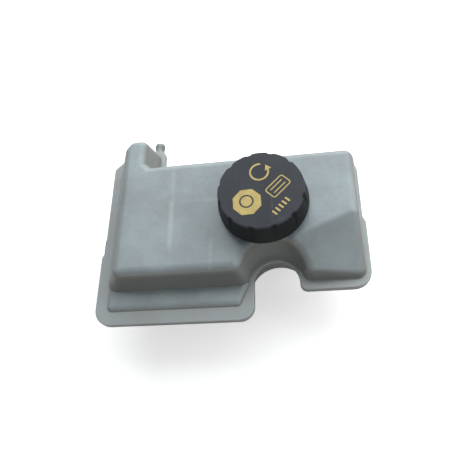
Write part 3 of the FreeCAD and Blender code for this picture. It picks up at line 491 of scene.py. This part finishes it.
def moved(place, turn, along=0.0, across=0.0):
    """A place on the cap, moved along and across a direction turned by some degrees."""
    angle = math.radians(turn)
    return (place[0] + along * math.cos(angle) - across * math.sin(angle),
            place[1] + along * math.sin(angle) + across * math.cos(angle))


def thicken_print():
    """Gives the flat print its thickness, with every face outwards."""
    bpy.ops.mesh.select_all(action="SELECT")
    bpy.ops.mesh.extrude_region_move(
        TRANSFORM_OT_translate={"value": (0.0, 0.0, PRINT_HEIGHT * MM)})
    bpy.ops.mesh.select_all(action="SELECT")
    bpy.ops.mesh.normals_make_consistent(inside=False)
    bpy.ops.object.mode_set(mode="OBJECT")


def ring_print(name, centre, outer, line, sides, turn=0.0, low=0.0, gap=None):
    """A ring or a many-sided frame of one line's width; without a line it is a full plate.

    Between the two angles of a gap, in degrees, it stays open.
    """
    bpy.ops.object.select_all(action="DESELECT")
    bpy.ops.mesh.primitive_circle_add(
        vertices=sides, radius=outer * MM, fill_type="NGON",
        location=on_the_cap(*centre, low), rotation=(0.0, 0.0, math.radians(turn)))
    piece = bpy.context.object
    begin_piece(piece, name)
    bpy.ops.mesh.inset(thickness=(line or PLATE_RIM) * MM)
    if line is not None:
        bpy.ops.mesh.delete(type="FACE")
    if gap is not None:
        bpy.ops.mesh.select_all(action="DESELECT")
        mesh = bmesh.from_edit_mesh(piece.data)
        for face in mesh.faces:
            middle = face.calc_center_median()
            angle = math.degrees(math.atan2(middle.y, middle.x)) % 360
            face.select_set(gap[0] < angle < gap[1])
        bmesh.update_edit_mesh(piece.data)
        bpy.ops.mesh.delete(type="FACE")
    thicken_print()
    return piece


def plate_print(name, centre, length, width, turn, corner, line=None):
    """A rounded bar; with a line's width it is only the frame of one."""
    bpy.ops.object.select_all(action="DESELECT")
    bpy.ops.mesh.primitive_plane_add(
        size=1.0, location=on_the_cap(*centre), rotation=(0.0, 0.0, math.radians(turn)))
    piece = bpy.context.object
    piece.scale = (length * MM, width * MM, 1.0)
    bpy.ops.object.transform_apply(location=False, rotation=False, scale=True)
    begin_piece(piece, name)
    bpy.ops.mesh.bevel(offset=corner * MM, segments=CORNER_STEPS, affect="VERTICES")
    if line is not None:
        bpy.ops.mesh.select_all(action="SELECT")
        bpy.ops.mesh.inset(thickness=line * MM)
        bpy.ops.mesh.delete(type="FACE")
    thicken_print()
    return piece


def joined(name, *pieces):
    """Several flat prints made one piece."""
    bpy.ops.object.select_all(action="DESELECT")
    for piece in pieces:
        piece.select_set(True)
    bpy.context.view_layer.objects.active = pieces[0]
    bpy.ops.object.join()
    pieces[0].name = name
    pieces[0].data.name = name
    return pieces[0]


def cap_print():
    """An eight-sided plate with a dark ring on it, a turn arrow, a page frame and a row of bars."""
    plate = ring_print(
        "octagon_mark", OCTAGON_PLACE, outer=9.5, line=None, sides=8, turn=OCTAGON_TURN)
    finish_piece(plate, gold_print, "cap")
    ring = ring_print("octagon_ring", OCTAGON_RING_PLACE, outer=4.6, line=1.0, sides=ROUND_SIDES,
                      low=PRINT_HEIGHT)
    finish_piece(ring, cap_black, "cap")

    arc = ring_print("turn_arrow_arc", ARROW_PLACE, outer=6.4, line=1.2, sides=ROUND_SIDES,
                     gap=ARROW_GAP)
    tip_place = (ARROW_PLACE[0] + ARROW_TIP_STEP[0], ARROW_PLACE[1] + ARROW_TIP_STEP[1])
    tip = ring_print(
        "turn_arrow_tip", tip_place, outer=2.6, line=None, sides=3, turn=ARROW_TIP_TURN)
    finish_piece(joined("turn_arrow", arc, tip), gold_print, "cap")

    page = [plate_print("page_frame", PAGE_PLACE, length=15.6, width=8.9, turn=PAGE_TURN,
                        corner=1.8, line=0.75)]
    for index, step in enumerate(PAGE_LINE_STEPS):
        spot = moved(PAGE_PLACE, PAGE_TURN, across=step)
        page.append(plate_print(f"page_line_{index + 1}", spot, length=10.2, width=0.75,
                                turn=PAGE_TURN, corner=0.3))
    finish_piece(joined("page_mark", *page), gold_print, "cap")

    bars = []
    for index in range(BAR_COUNT):
        spot = moved(BARS_PLACE, BARS_TURN, along=(index - BAR_COUNT // 2) * BAR_STEP)
        bars.append(plate_print(f"tick_bar_{index + 1}", spot, length=1.2, width=3.9,
                                turn=BARS_TURN, corner=0.4))
    finish_piece(joined("tick_bars", *bars), gold_print, "cap")


def thread(name, foot, crest, turns, phase, material, body):
    """One raised screw thread, from its foot's radius to its crest's.

    A tapered section is wound up by the Screw modifier and closed at both ends.
    """
    bpy.ops.object.select_all(action="DESELECT")
    middle = (foot + crest) / 2 * MM
    bpy.ops.mesh.primitive_plane_add(
        size=1.0, location=(middle, 0.0, 0.0), rotation=(math.pi / 2, 0.0, 0.0))
    piece = bpy.context.object
    piece.scale = (abs(crest - foot) * MM, FOOT_WIDTH * MM, 1.0)
    bpy.ops.object.transform_apply(location=True, rotation=True, scale=True)
    begin_piece(piece, name)
    bpy.ops.mesh.delete(type="ONLY_FACE")
    bpy.ops.mesh.select_all(action="DESELECT")
    bpy.ops.mesh.select_mode(type="VERT")
    mesh = bmesh.from_edit_mesh(piece.data)
    for point in mesh.verts:
        point.select_set(abs(point.co.x - crest * MM) < CREST_REACH * MM)
    bmesh.update_edit_mesh(piece.data)
    bpy.ops.transform.resize(
        value=(1.0, 1.0, CREST_WIDTH / FOOT_WIDTH), center_override=(crest * MM, 0.0, 0.0))
    bpy.ops.object.mode_set(mode="OBJECT")
    wind = piece.modifiers.new("wind", "SCREW")
    wind.axis = "Z"
    wind.angle = turns * 2 * math.pi
    wind.screw_offset = turns * THREAD_PITCH * MM
    wind.steps = wind.render_steps = int(STEPS_PER_TURN * turns)
    wind.use_merge_vertices = False
    bpy.ops.object.modifier_apply(modifier="wind")
    bpy.ops.object.mode_set(mode="EDIT")
    bpy.ops.mesh.select_all(action="SELECT")
    bpy.ops.mesh.fill_holes(sides=0)
    bpy.ops.mesh.normals_make_consistent(inside=False)
    bpy.ops.mesh.select_all(action="SELECT")
    bpy.ops.transform.translate(value=(NECK.x * MM, 0.0, THREAD_START * MM))
    bpy.ops.transform.rotate(
        value=-math.radians(phase), orient_axis="Z", center_override=(NECK.x * MM, 0.0, 0.0))
    bpy.ops.object.mode_set(mode="OBJECT")
    bpy.ops.object.shade_smooth_by_angle(angle=math.radians(SMOOTH_ANGLE))
    finish_piece(piece, material, body)


cap_print()
thread("neck_thread", foot=22.2, crest=24.0, turns=1.15, phase=0.0, material=milky,
       body="tank")
thread("cap_thread", foot=24.8, crest=22.9, turns=1.1, phase=180.0, material=cap_black,
       body="cap")


# The studio
def rays_that_see(tree, path):
    """The camera's own rays, with those that gloss, metal and glass send on."""
    return highest(
        tree, path["Is Camera Ray"], path["Is Glossy Ray"], path["Is Transmission Ray"])


def softbox(name, place, aim, size, watts, tint=PLAIN):
    """A lamp of two sides in metres, at its place and turned to what it is aimed at."""
    data = bpy.data.lights.new(name, "AREA")
    data.shape = "RECTANGLE"
    data.size, data.size_y = size
    data.energy = watts
    data.color = tint
    lamp = bpy.data.objects.new(name, data)
    bpy.context.collection.objects.link(lamp)
    lamp.location = place
    lamp.rotation_euler = (Vector(aim) - Vector(place)).to_track_quat("-Z", "Y").to_euler()


def studio():
    """A pale floor, a room that is pale to the eye and dim to the part, and six softboxes.

    They hang high and low behind the part, low in front, at both sides and at the right front.
    """
    bpy.ops.object.select_all(action="DESELECT")
    bpy.ops.mesh.primitive_plane_add(
        size=FLOOR_SIDE, location=(0.02, 0.0, CAD_LOW.z - FLOOR_GAP))
    floor = bpy.context.object
    floor.name = "studio_floor"
    material, tree, shader, place = new_material(
        "floor_paper", Roughness=0.9, Specular_IOR_Level=0.1, Emission_Strength=0.5)
    path = tree.nodes.new("ShaderNodeLightPath").outputs
    paper = use_group(tree, CLOUDED, Place=place, Light=(0.93, 0.93, 0.93, 1),
                      Dark=(0.9, 0.9, 0.9, 1), Scale=6.0)
    colour = blend_colours(
        tree, rays_that_see(tree, path), (0.15, 0.15, 0.15, 1.0), paper.outputs["Colour"])
    tree.links.new(colour, shader.inputs["Base Color"])
    glow = blend_colours(tree, path["Is Camera Ray"], (0.0, 0.0, 0.0, 1.0), (1.0, 1.0, 1.0, 1.0))
    tree.links.new(glow, shader.inputs["Emission Color"])
    floor.data.materials.append(material)

    world = bpy.data.worlds.new("studio_room")
    bpy.context.scene.world = world
    world.use_nodes = True
    room = world.node_tree
    seen = rays_that_see(room, room.nodes.new("ShaderNodeLightPath").outputs)
    walls = blend_colours(room, seen, (0.12, 0.122, 0.125, 1.0), (0.95, 0.95, 0.95, 1.0))
    room.links.new(walls, room.nodes["Background"].inputs["Color"])

    softbox("behind_and_above", (0.12, 0.60, 0.80), TANK_MIDDLE, (1.3, 1.1), watts=11.0, tint=COOL)
    softbox("low_behind", (0.10, 0.95, 0.26), TANK_MIDDLE, (1.3, 0.14), watts=3.4)
    softbox("low_front", (-0.25, -0.95, 0.22), TANK_MIDDLE, (0.8, 0.3), watts=1.3, tint=WARM)
    softbox("left_side", (-0.85, 0.05, 0.42), (0.0, 0.0, 0.05), (0.6, 0.9), watts=0.5,
            tint=SLIGHTLY_COOL)
    softbox("right_side", (0.88, 0.20, 0.42), (0.0, 0.0, 0.05), (0.6, 0.9), watts=5.0)
    softbox("right_front", (0.62, -0.68, 0.55), (0.05, 0.0, 0.05), (0.6, 0.6), watts=1.3, tint=WARM)


studio()
bpy.context.scene.view_settings.view_transform = "Standard"
